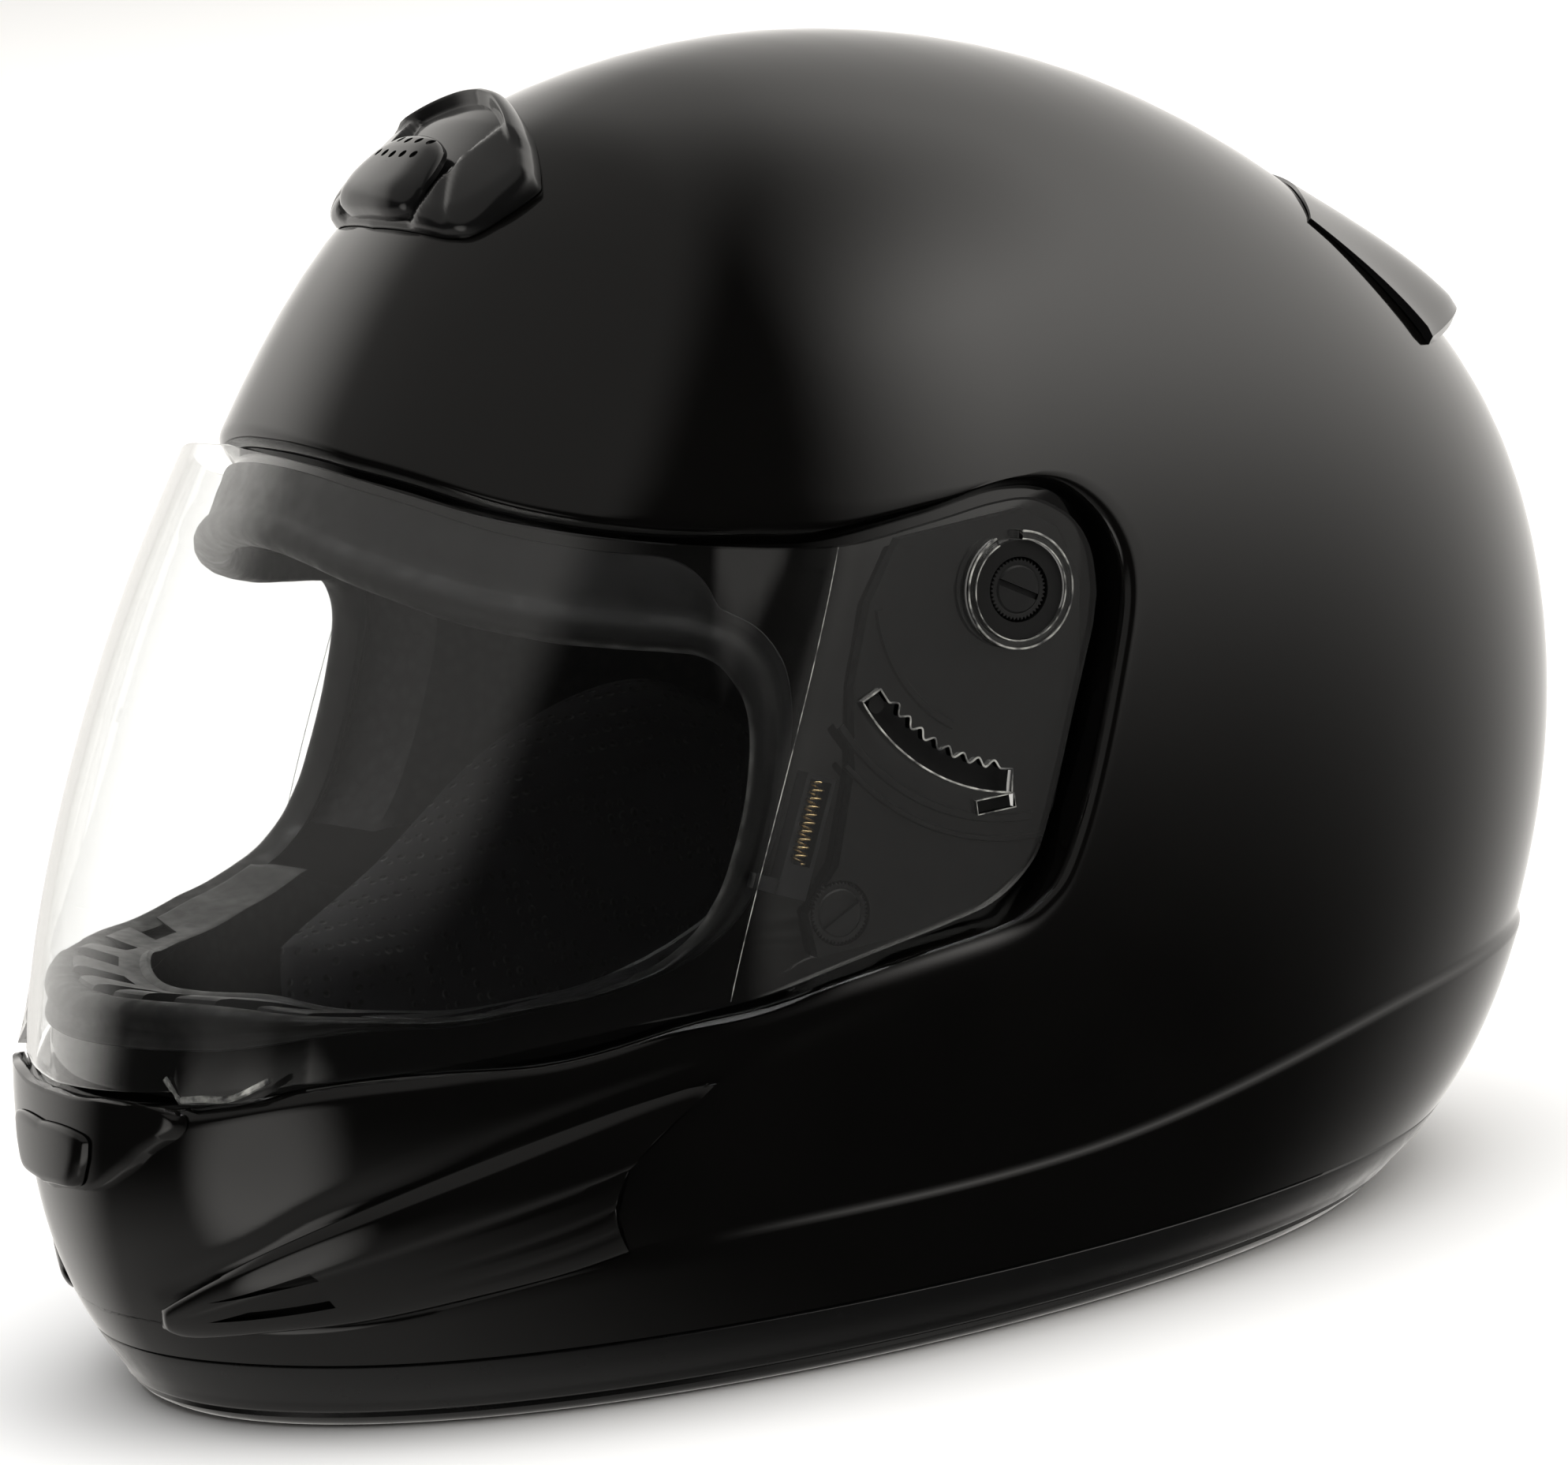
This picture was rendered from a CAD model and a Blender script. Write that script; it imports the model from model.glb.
import math

import bmesh
import bpy
import numpy as np
from mathutils import Matrix, Vector


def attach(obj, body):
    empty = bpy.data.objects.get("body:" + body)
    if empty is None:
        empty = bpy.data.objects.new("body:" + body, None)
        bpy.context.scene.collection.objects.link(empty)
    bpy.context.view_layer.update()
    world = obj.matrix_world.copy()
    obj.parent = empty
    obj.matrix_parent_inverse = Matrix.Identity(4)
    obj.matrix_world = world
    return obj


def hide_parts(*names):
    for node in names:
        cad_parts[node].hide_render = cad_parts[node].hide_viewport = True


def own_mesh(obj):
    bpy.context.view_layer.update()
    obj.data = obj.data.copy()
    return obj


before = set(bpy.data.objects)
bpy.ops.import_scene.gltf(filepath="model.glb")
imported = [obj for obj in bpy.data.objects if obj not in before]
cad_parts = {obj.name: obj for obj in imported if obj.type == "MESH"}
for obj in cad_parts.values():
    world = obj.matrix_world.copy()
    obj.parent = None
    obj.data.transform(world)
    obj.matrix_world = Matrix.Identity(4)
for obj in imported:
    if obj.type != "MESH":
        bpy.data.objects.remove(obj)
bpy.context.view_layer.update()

# ---- The table, the camera and the light ---------------------------------------------
# The helmet stands on its rim on a pale table, in a white room. One broad soft panel behind
# the rider's left shoulder and a few faint glows light it. The camera looks at the left front.
MM = 0.001
SIDES = ((1, "left"), (-1, "right"))
TABLE_REACH = 9          # metres from the middle to each edge
CAMERA_TILT = 8          # degrees that the view leans forwards about the helmet's side axis
CAMERA_AROUND = 63       # degrees from straight ahead towards the rider's left
CAMERA_ABOVE = 6.4
CAMERA_FAR = 1.5
CAMERA_LENS = 163
CAMERA_ASIDE = (0.0064, -0.0137)   # right and up, to frame the helmet
CAMERA_TARGET = Vector((0, 0, 0.125))


def camera_pose():
    around, above = math.radians(CAMERA_AROUND), math.radians(CAMERA_ABOVE)
    back = Vector((math.sin(around) * math.cos(above), -math.cos(around) * math.cos(above), math.sin(above)))
    right = Vector((math.cos(around), math.sin(around), 0))
    up = back.cross(right)
    place = back * CAMERA_FAR + right * CAMERA_ASIDE[0] + up * CAMERA_ASIDE[1]
    turn = Matrix((right, up, back)).transposed().to_4x4()
    lean = Matrix.Rotation(-math.radians(CAMERA_TILT), 4, "X")
    return Matrix.Translation(CAMERA_TARGET) @ lean @ Matrix.Translation(place) @ turn


camera = bpy.data.objects.new("camera", bpy.data.cameras.new("camera"))
camera.data.lens = CAMERA_LENS
camera.data.clip_start = 0.05
camera.matrix_world = camera_pose()
bpy.context.scene.collection.objects.link(camera)
bpy.context.scene.camera = camera
bpy.context.scene.view_settings.view_transform = "Standard"


def table():
    bm = bmesh.new()
    bmesh.ops.create_grid(bm, x_segments=8, y_segments=8, size=TABLE_REACH)
    mesh = bpy.data.meshes.new("table")
    bm.to_mesh(mesh)
    bm.free()
    top = bpy.data.objects.new("table", mesh)
    top.location.z = -0.0002
    material = bpy.data.materials.new("table")
    material.use_nodes = True
    shader = material.node_tree.nodes["Principled BSDF"]
    shader.inputs["Base Color"].default_value = (0.86, 0.86, 0.86, 1)
    shader.inputs["Roughness"].default_value = 0.9
    shader.inputs["Specular IOR Level"].default_value = 0
    # The shell and the visor mirror a dim room and not this table.
    tree = material.node_tree
    path = tree.nodes.new("ShaderNodeLightPath")
    mirrored = tree.nodes.new("ShaderNodeMath")
    mirrored.operation = "GREATER_THAN"
    mirrored.inputs[1].default_value = 0.5
    tree.links.new(path.outputs["Glossy Depth"], mirrored.inputs[0])
    gone = tree.nodes.new("ShaderNodeBsdfTransparent")
    choice = tree.nodes.new("ShaderNodeMixShader")
    tree.links.new(mirrored.outputs[0], choice.inputs[0])
    tree.links.new(shader.outputs[0], choice.inputs[1])
    tree.links.new(gone.outputs[0], choice.inputs[2])
    tree.links.new(choice.outputs[0], tree.nodes["Material Output"].inputs["Surface"])
    mesh.materials.append(material)
    bpy.context.scene.collection.objects.link(top)


table()


def room():
    world = bpy.data.worlds.new("room")
    bpy.context.scene.world = world
    world.use_nodes = True
    tree = world.node_tree
    tree.nodes.clear()
    where = tree.nodes.new("ShaderNodeTexCoord").outputs["Generated"]

    def math_node(kind, a, b):
        node = tree.nodes.new("ShaderNodeMath")
        node.operation = kind
        for socket, value in zip(node.inputs, (a, b)):
            if isinstance(value, (int, float)):
                socket.default_value = value
            else:
                tree.links.new(value, socket)
        return node.outputs[0]

    def ramp(axis, start, full):
        dot = tree.nodes.new("ShaderNodeVectorMath")
        dot.operation = "DOT_PRODUCT"
        tree.links.new(where, dot.inputs[0])
        dot.inputs[1].default_value = Vector(axis).normalized()
        smooth = tree.nodes.new("ShaderNodeMapRange")
        smooth.interpolation_type = "SMOOTHSTEP"
        smooth.inputs["From Min"].default_value = start
        smooth.inputs["From Max"].default_value = full
        tree.links.new(dot.outputs["Value"], smooth.inputs["Value"])
        return smooth.outputs["Result"]

    def glow(strength, *ramps):
        level = strength
        for r in ramps:
            level = math_node("MULTIPLY", level, r)
        return level

    panel = glow(55, ramp((0.14, 0.99, -0.07), -0.14, 0.36), ramp((0.74, -0.12, -0.66), -1.35, 0.32),
                 ramp((-0.48, -0.01, 0.88), -0.8, 7.5), ramp((0, 0, -1), -1.12, -0.77))
    far_wall = glow(0.9, ramp((-0.97, -0.2, 0.1), 0.75, 0.97))
    dim_corner = glow(0.28, ramp((-0.48, -0.77, 0.42), 0.31, 0.49), ramp((0, 0, 1), 0.12, 0.35))
    front_card = glow(1.1, ramp((0.09, -0.97, -0.24), 0.93, 0.995))
    low_glow = glow(0.3, ramp((-0.5, -0.6, -0.6), 0.1, 0.8), ramp((0, 0, -1), 0.15, 0.4))
    ambient = 0.02
    level = ambient
    for part in (panel, far_wall, dim_corner, front_card, low_glow):
        level = math_node("ADD", part, level)
    light = tree.nodes.new("ShaderNodeBackground")
    light.inputs["Color"].default_value = (1, 0.972, 0.93, 1)
    tree.links.new(level, light.inputs["Strength"])
    backdrop = tree.nodes.new("ShaderNodeBackground")
    backdrop.inputs["Color"].default_value = (1, 1, 1, 1)
    backdrop.inputs["Strength"].default_value = 1
    path = tree.nodes.new("ShaderNodeLightPath")
    bounced = math_node("MAXIMUM", path.outputs["Diffuse Depth"], path.outputs["Glossy Depth"])
    straight = math_node("LESS_THAN", bounced, 0.5)
    seen = math_node("MAXIMUM", path.outputs["Is Camera Ray"],
                     math_node("MULTIPLY", path.outputs["Is Transmission Ray"], straight))
    mix = tree.nodes.new("ShaderNodeMixShader")
    tree.links.new(seen, mix.inputs[0])
    tree.links.new(light.outputs[0], mix.inputs[1])
    tree.links.new(backdrop.outputs[0], mix.inputs[2])
    out = tree.nodes.new("ShaderNodeOutputWorld")
    tree.links.new(mix.outputs[0], out.inputs["Surface"])


room()


def ceiling_lamp():
    # Lights the table evenly; it has no mirror image in the shell.
    lamp = bpy.data.lights.new("ceiling lamp", "AREA")
    lamp.shape = "DISK"
    lamp.size = 6
    lamp.energy = 240
    holder = bpy.data.objects.new("ceiling lamp", lamp)
    holder.location = (0, 0, 4)
    holder.visible_glossy = False
    bpy.context.scene.collection.objects.link(holder)


ceiling_lamp()

# ---- Outer shell ---------------------------------------------------------------------
# The outer shell is one injection-moulded polycarbonate wall with a high-gloss black
# lacquer. It has a recess for the visor, a raised lower band and cut-outs for the vents.
# Its surface is a stack of egg-shaped level sections: height, half width, foremost and
# rearmost y in millimetres. They are the control rows of a cubic spline up to the crown.
SECTIONS = [
    (0, 97, -154, 123), (20, 108, -166, 147), (48, 119, -171, 161), (85, 125, -167, 173),
    (126, 125, -146, 175), (167, 118, -120, 165), (204, 102, -97, 136), (235, 74, -72, 98),
    (253, 38, -38, 57),
]
CROWN = (260, 0, 10, 10)
EGG = -6                 # how much narrower the front is than the back
SQUARE = 0.02            # how much fuller the corners are than an ellipse
DISC_MM = 280            # millimetres of surface for one unit in the flat disc map
LAST = len(SECTIONS)
lowest, topmost = np.array(SECTIONS[0], float), SECTIONS[-1]
rows = np.array([2 * lowest - SECTIONS[1], *SECTIONS, CROWN,
                 (topmost[0], -topmost[1], topmost[3], topmost[2])], float)


def section(v):
    v = np.asarray(v, float)
    i = np.clip(np.floor(v).astype(int), 0, LAST - 1)
    t = (v - i)[..., None]
    return ((1 - t) ** 3 * rows[i] + (3 * t ** 3 - 6 * t ** 2 + 4) * rows[i + 1]
            + (-3 * t ** 3 + 3 * t ** 2 + 3 * t + 1) * rows[i + 2] + t ** 3 * rows[i + 3]) / 6


def bare(p):
    """Point of the shell above point p of the disc map: crown at the middle, front at -y."""
    p = np.asarray(p, float)
    u = np.arctan2(p[..., 0], -p[..., 1])
    z, w, front, rear = np.moveaxis(section(LAST * (1 - np.hypot(p[..., 0], p[..., 1]))), -1, 0)
    egg = EGG * w / 125
    x = w * (np.sin(u) + SQUARE * np.sin(3 * u)) / (1 - SQUARE)
    y = (front + rear) / 2 - egg - (rear - front) / 2 * np.cos(u) + egg * np.cos(2 * u)
    return np.stack([x, y, z], -1)


def normal(p):
    p, h = np.asarray(p, float), 0.002
    n = np.cross(bare(p + (h, 0)) - bare(p - (h, 0)), bare(p + (0, h)) - bare(p - (0, h)))
    return n / np.linalg.norm(n, axis=-1, keepdims=True)


def on_shell(p, off=0.0):
    return bare(p) + np.asarray(off, float)[..., None] * normal(p)


def spot(u, z):
    """Disc point at angle u from the front, positive to the rider's left, and height z."""
    u, z = np.broadcast_arrays(np.asarray(u, float), np.asarray(z, float))
    low, high = np.zeros(z.shape), np.full(z.shape, float(LAST))
    for _ in range(22):
        middle = (low + high) / 2
        below = section(middle)[..., 0] < z
        low, high = np.where(below, middle, low), np.where(below, high, middle)
    around = np.radians(u)
    return (1 - low / LAST)[..., None] * np.stack([np.sin(around), -np.cos(around)], -1)


def ease(t):
    c = np.clip(t, 0, 1)
    return c * c * (3 - 2 * c)


def mix(a, b, t):
    return a + (b - a) * t


def toward(a, b, mm):
    d = b - a
    return a + d / np.linalg.norm(d, axis=-1, keepdims=True) * np.asarray(mm, float)[..., None] / DISC_MM


def spline(points, t):
    """Smooth open curve through a list of points; t counts its spans."""
    points = np.asarray(points, float)
    m = len(points) - 1
    t = np.asarray(t, float)
    i = np.clip(np.floor(t).astype(int), 0, m - 1)
    a, b, c, d = (points[np.clip(i + k, 0, m)] for k in (-1, 0, 1, 2))
    f = (t - i)[..., None]
    return 0.5 * (2 * b + (c - a) * f + (2 * a - 5 * b + 4 * c - d) * f ** 2
                  + (3 * b - a - 3 * c + d) * f ** 3)


def along(table, x):
    """Value at x of the smooth curve through a list of (x, y)."""
    xs, ys = np.array(table, float).T
    x = np.asarray(x, float)
    m = len(xs) - 1
    i = np.clip(np.searchsorted(xs, x, side="left") - 1, 0, m - 1)
    before, after = np.maximum(np.arange(m + 1) - 1, 0), np.minimum(np.arange(m + 1) + 1, m)
    slope = (ys[after] - ys[before]) / (xs[after] - xs[before])
    w = xs[i + 1] - xs[i]
    t = np.clip((x - xs[i]) / w, 0, 1)
    return ((2 * t ** 3 - 3 * t ** 2 + 1) * ys[i] + (t ** 3 - 2 * t ** 2 + t) * w * slope[i]
            + (3 * t ** 2 - 2 * t ** 3) * ys[i + 1] + (t ** 3 - t ** 2) * w * slope[i + 1])


# From the brow round the left side to the chin: angle and height on the eyeport's edge,
# angle and height on the visor recess's outline, and the angle on the rim facing them.
STATIONS = [
    (0, 182, 0, 190.5, 180), (12, 179.5, 12, 189, 177), (21, 175, 21, 186, 174),
    (32, 168.5, 33, 179.5, 170), (41, 163.5, 42, 174.5, 167), (48, 160, 50, 171, 164),
    (53.5, 157, 57, 169, 161), (56.5, 154, 64, 167.5, 156), (58.5, 151, 72, 169.5, 150),
    (60, 147, 79, 172, 142), (61, 143, 83.5, 169.5, 134), (61.7, 138, 86.7, 161, 126),
    (62.2, 131, 87.8, 149, 118), (62.5, 121, 86.8, 131, 109), (62.4, 111, 85.2, 103, 100),
    (61.8, 102, 83.5, 91.5, 92), (60, 94, 79.5, 86.5, 82), (56.5, 88.5, 70, 83, 70),
    (50, 85.5, 61, 79.5, 58), (39, 84, 46, 75, 44), (20, 83, 21, 71, 21), (0, 82.5, 0, 69, 0),
]
BAND_LINE = [(0, 22), (32, 24), (58, 33.5), (90, 37), (123, 49.5), (180, 49)]
TRIM_HEIGHT = 15
NAPE_RISE = 8
WALL = 4
RECESS = 5.5
BAND_STEP = 1.4
TRIM_WALL = 1.4
POCKET_X = 109.5         # distance of the flat side pocket's floor from the middle plane
RAYS_PER_STATION = 12


def rise(a):
    return NAPE_RISE * ease((np.abs(a) - 135) / 40)


def band_at(u):
    return BAND_STEP * ease((np.abs(u) - 15) / 30)


def rays_round():
    """Rays from the eyeport's edge over the shell to the rim: edge, recess, band, seam, rim."""
    s = np.array(STATIONS, float)
    rim = np.radians(s[:, 4])
    on_rim = np.stack([np.sin(rim), -np.cos(rim)], -1)
    flat = np.hstack([spot(s[:, 0], s[:, 1]), spot(s[:, 2], s[:, 3]), on_rim])
    mirrored = flat[1:-1][::-1] * (-1, 1, -1, 1, -1, 1)
    loop = np.vstack([flat, mirrored])
    around = np.vstack([loop[-1:], loop, loop[:2]])
    t = np.arange(len(loop) * RAYS_PER_STATION) / RAYS_PER_STATION
    f = spline(around, t + 1)
    u = np.degrees(np.arctan2(f[:, 4], -f[:, 5]))
    return {"edge": f[:, 0:2], "recess": f[:, 2:4], "band": spot(u, along(BAND_LINE, np.abs(u))),
            "seam": spot(u, TRIM_HEIGHT + rise(u)), "rim": spot(u, rise(u) + 3), "u": u}


rays = rays_round()


def in_recess(p, off, cap):
    q = on_shell(p, off)
    q[..., 0] = np.clip(q[..., 0], -cap, cap)
    return q


def solid(name, outer, inner, closed=False, sharp=35, body="helmet"):
    """A closed piece between an outer and an inner grid of points, rows along the first axis."""
    outer, inner = np.asarray(outer, float), np.asarray(inner, float)
    n, a, b = outer.shape[0], outer.shape[1], inner.shape[1]
    base = n * a
    faces = []
    for i in range(n if closed else n - 1):
        k = (i + 1) % n
        faces += [(i * a + j, i * a + j + 1, k * a + j + 1, k * a + j) for j in range(a - 1)]
        faces += [(base + i * b + j, base + k * b + j, base + k * b + j + 1, base + i * b + j + 1)
                  for j in range(b - 1)]
        faces.append((i * a, k * a, base + k * b, base + i * b))
        faces.append((i * a + a - 1, base + i * b + b - 1, base + k * b + b - 1, k * a + a - 1))
    if not closed:
        for i in (0, n - 1):
            ring = [i * a + j for j in range(a)] + [base + i * b + j for j in reversed(range(b))]
            faces.append(ring if i else ring[::-1])
    return piece(name, np.vstack([outer.reshape(-1, 3), inner.reshape(-1, 3)]) * MM, faces, sharp, body)


def unposed(name, points, faces):
    """A new object with its faces turned outwards."""
    mesh = bpy.data.meshes.new(name)
    mesh.from_pydata([tuple(q) for q in points], [], [tuple(f) for f in faces])
    bm = bmesh.new()
    bm.from_mesh(mesh)
    bmesh.ops.recalc_face_normals(bm, faces=bm.faces)
    bm.to_mesh(mesh)
    bm.free()
    item = bpy.data.objects.new(name, mesh)
    bpy.context.scene.collection.objects.link(item)
    return item


def piece(name, points, faces, sharp=35, body="helmet"):
    item = unposed(name, points, faces)
    item.data.shade_smooth()
    item.data.set_sharp_from_angle(angle=math.radians(sharp))
    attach(item, body)
    return item


def dress(item, material, node=None):
    """Gives a piece its material and its slot, and puts it in the place of a CAD node."""
    item.data.materials.append(material)
    if node:
        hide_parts(node)


def finish_of(name, colour, roughness, ior=1.5):
    """A new material with its Principled shader; grain, weave and wear are added to it."""
    material = bpy.data.materials.new(name)
    material.use_nodes = True
    material.diffuse_color = (*colour, 1)
    shader = material.node_tree.nodes["Principled BSDF"]
    shader.inputs["Base Color"].default_value = (*colour, 1)
    shader.inputs["Roughness"].default_value = roughness
    shader.inputs["IOR"].default_value = ior
    return material, material.node_tree, shader


def noise(tree, size_mm, detail, stretch=(1, 1, 1)):
    """Noise in the object's own space with grains of about size_mm."""
    place = tree.nodes.new("ShaderNodeTexCoord").outputs["Object"]
    scale = tree.nodes.new("ShaderNodeMapping")
    scale.inputs["Scale"].default_value = [s / (size_mm * MM) for s in stretch]
    tree.links.new(place, scale.inputs["Vector"])
    grain = tree.nodes.new("ShaderNodeTexNoise")
    grain.inputs["Scale"].default_value = 1
    grain.inputs["Detail"].default_value = detail
    tree.links.new(scale.outputs[0], grain.inputs["Vector"])
    return grain.outputs["Fac"]


def cells(tree, size_mm, randomness=1):
    """Distance from the middles of cells of about size_mm, in the object's own space."""
    place = tree.nodes.new("ShaderNodeTexCoord").outputs["Object"]
    pattern = tree.nodes.new("ShaderNodeTexVoronoi")
    pattern.inputs["Scale"].default_value = 1 / (size_mm * MM)
    pattern.inputs["Randomness"].default_value = randomness
    tree.links.new(place, pattern.inputs["Vector"])
    return pattern.outputs["Distance"]


def span(tree, value, low, high, start=0.3, end=0.7):
    """Maps a value from start..end to low..high."""
    node = tree.nodes.new("ShaderNodeMapRange")
    node.inputs["From Min"].default_value = start
    node.inputs["From Max"].default_value = end
    node.inputs["To Min"].default_value = low
    node.inputs["To Max"].default_value = high
    tree.links.new(value, node.inputs["Value"])
    return node.outputs["Result"]


def tint(tree, value, dark, light, shader):
    """Base colour between dark and light, by value."""
    node = tree.nodes.new("ShaderNodeMix")
    node.data_type = "RGBA"
    node.inputs[6].default_value = (*dark, 1)
    node.inputs[7].default_value = (*light, 1)
    tree.links.new(value, node.inputs[0])
    tree.links.new(node.outputs[2], shader.inputs["Base Color"])


def relief(tree, shader, height, depth_mm, strength):
    """Fine surface relief that is too small to model."""
    bump = tree.nodes.new("ShaderNodeBump")
    bump.inputs["Strength"].default_value = strength
    bump.inputs["Distance"].default_value = depth_mm * MM
    tree.links.new(height, bump.inputs["Height"])
    tree.links.new(bump.outputs[0], shader.inputs["Normal"])


def vary_roughness(tree, shader, size_mm, low, high):
    tree.links.new(span(tree, noise(tree, size_mm, 4), low, high), shader.inputs["Roughness"])


def lacquer(name, colour, roughness):
    """Black gloss lacquer: a faint orange peel and a little dust haze."""
    material, tree, shader = finish_of(name, colour, roughness)
    tint(tree, span(tree, noise(tree, 40, 2), 0, 1), colour, tuple(1.5 * c for c in colour), shader)
    vary_roughness(tree, shader, 9, roughness * 0.8, roughness * 1.25)
    relief(tree, shader, noise(tree, 3.2, 2), 0.012, 0.35)
    return material


gloss_black = lacquer("gloss black lacquer", (0.0014, 0.0013, 0.0012), 0.07)
SCOOP_TOP = [(14.5, 29), (24.8, 39), (32, 47), (40, 53.5), (48.2, 61), (56, 66.5), (63.5, 71), (74.5, 78)]


def distance_to(p, line):
    """Distance in millimetres on the disc map to a polyline, and how far along it, 0 to 1."""
    best, where = np.full(p.shape[:-1], 1e9), np.zeros(p.shape[:-1])
    for k, (a, b) in enumerate(zip(line[:-1], line[1:])):
        d = b - a
        t = np.clip(((p - a) @ d) / (d @ d), 0, 1)
        gap = np.linalg.norm(p - a - t[..., None] * d, axis=-1) * DISC_MM
        where = np.where(gap < best, (k + t) / (len(line) - 1), where)
        best = np.minimum(best, gap)
    return best, where


scoop_line = spline(spot(*np.array(SCOOP_TOP, float).T), np.linspace(0, len(SCOOP_TOP) - 1, 40))


def moulded(p):
    """Height of the shell's moulded lines: a crease along the top of each side scoop."""
    folded = np.stack([np.abs(p[..., 0]), p[..., 1]], -1)
    gap, run = distance_to(folded, scoop_line)
    return -1.3 * np.exp(-(gap / 2.2) ** 2) * ease((1 - run) / 0.3) * ease(run / 0.04)


def outer_shell():
    edge, recess, band, seam, rim = (rays[k] for k in ("edge", "recess", "band", "seam", "rim"))
    b = band_at(rays["u"])
    lip = 3.2
    outer = [in_recess(mix(edge, recess, f), -RECESS, POCKET_X) for f in np.linspace(0, 1, 9)]
    outer += [on_shell(toward(recess, band, 0.5), -lip - 0.6)]
    for a in np.radians((0, 20, 40, 60, 75, 90)):
        outer.append(on_shell(toward(recess, band, 0.5 + lip * (1 - np.cos(a))), -lip * (1 - np.sin(a))))
    first = toward(recess, band, 0.5 + lip)
    for f in np.linspace(0.02, 0.985, 46):
        p = mix(first, band, f)
        outer.append(on_shell(p, moulded(p)))
    for step, share in ((-1.6, 0), (-0.7, 0.12), (0, 0.5), (0.6, 0.9), (1.4, 1)):
        outer.append(on_shell(toward(band, seam, step), b * share))
    outer += [on_shell(mix(band, seam, f), b) for f in np.linspace(0.22, 0.95, 10)]
    outer += [on_shell(toward(seam, band, 0.5), b), on_shell(toward(seam, band, 0.15), b - 0.3),
              on_shell(seam, b - TRIM_WALL - 0.3), on_shell(rim, -TRIM_WALL - 0.3)]
    deep, cap = RECESS + WALL, POCKET_X - WALL
    inner = [in_recess(mix(edge, recess, f), -deep, cap) for f in (0, 0.5)]
    inner += [in_recess(toward(recess, band, 4), -deep, cap), on_shell(toward(recess, band, 9), -WALL)]
    inner += [on_shell(mix(recess, band, f), -WALL) for f in np.linspace(0.18, 0.95, 10)]
    inner += [on_shell(seam, -WALL), on_shell(rim, -WALL - TRIM_WALL)]
    shell = solid("outer_shell_lacquered", np.stack(outer, 1), np.stack(inner, 1), closed=True)
    dress(shell, gloss_black, "outer_shell")


outer_shell()

# ---- Lower edge trim -----------------------------------------------------------------
# A black semi-gloss strip of flexible plastic, pushed over the shell's cut rim and glued.
# Its sole is flat, and a fine bead runs round just above it.


def lower_edge_trim():
    u = np.arange(0, 360, 1.0)
    u = np.where(u > 180, u - 360, u)
    b, low = band_at(u), rise(u)
    foot, head = spot(u, low), spot(u, TRIM_HEIGHT + low - 0.3)
    wrap = WALL + TRIM_WALL + 0.4

    def level(q, z):
        q = q.copy()
        q[..., 2] = z
        return q

    front = [on_shell(head, b - 0.5), on_shell(mix(foot, head, 0.985), b - 0.1)]
    for f in np.linspace(0.95, 0.3, 9):
        bead = 0.35 * math.exp(-((f - 0.32) / 0.03) ** 2)
        front.append(on_shell(mix(foot, head, f), b * ease((f - 0.1) / 0.7) + bead))
    groove = ((0.24, b * ease(0.14 / 0.7)), (0.2, b * 0.03 - 0.45), (0.16, b * 0.02 + 0.1), (0.08, -0.15))
    front += [on_shell(mix(foot, head, share), off) for share, off in groove]
    for depth, high in ((0.9, 0.35), (1.6, 0), (wrap + TRIM_WALL - 0.5, 0), (wrap + TRIM_WALL, 0.6)):
        front.append(level(on_shell(foot, -depth), low + high))
    front.append(on_shell(mix(foot, head, 0.7), -wrap - TRIM_WALL))
    lift = spot(u, low + 2.2)
    back = [on_shell(head, b - TRIM_WALL), on_shell(mix(foot, head, 0.35), -TRIM_WALL),
            on_shell(lift, -TRIM_WALL), on_shell(lift, -wrap), on_shell(mix(foot, head, 0.7), -wrap)]
    trim = solid("rim_strip", np.stack(front, 1), np.stack(back, 1), closed=True)
    material, tree, shader = finish_of("edge strip plastic", (0.006, 0.006, 0.006), 0.22)
    vary_roughness(tree, shader, 5, 0.18, 0.28)
    relief(tree, shader, noise(tree, 0.7, 3), 0.02, 0.3)
    dress(trim, material, "lower_edge_trim")


lower_edge_trim()

# ---- Impact liner and chin liner -----------------------------------------------------
# Black expanded polystyrene, moulded in two pieces and pushed into the shell. Its bead
# pattern shows wherever the cloth doesn't cover it.
LINER_DEPTH = 34
CLEAR = 0.8
FIRST_INSIDE = 0.18      # share of the way from the recess to the band where the pads start


def foam():
    material, tree, shader = finish_of("black bead foam", (0.012, 0.012, 0.013), 0.7)
    beads = cells(tree, 3.2)
    seam = span(tree, beads, 0, 1, 0.1, 0.7)
    tint(tree, seam, (0.016, 0.016, 0.017), (0.006, 0.006, 0.007), shader)
    relief(tree, shader, span(tree, beads, 1, 0, 0, 0.8), 0.35, 0.7)
    return material


black_foam = foam()


def part_of_rays(first, last, step=2):
    """The rays from one station to another, across the brow when first is negative."""
    k = np.arange(int(first * RAYS_PER_STATION), int(last * RAYS_PER_STATION) + 1, step) % len(rays["u"])
    return {name: values[k] for name, values in rays.items()}


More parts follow.
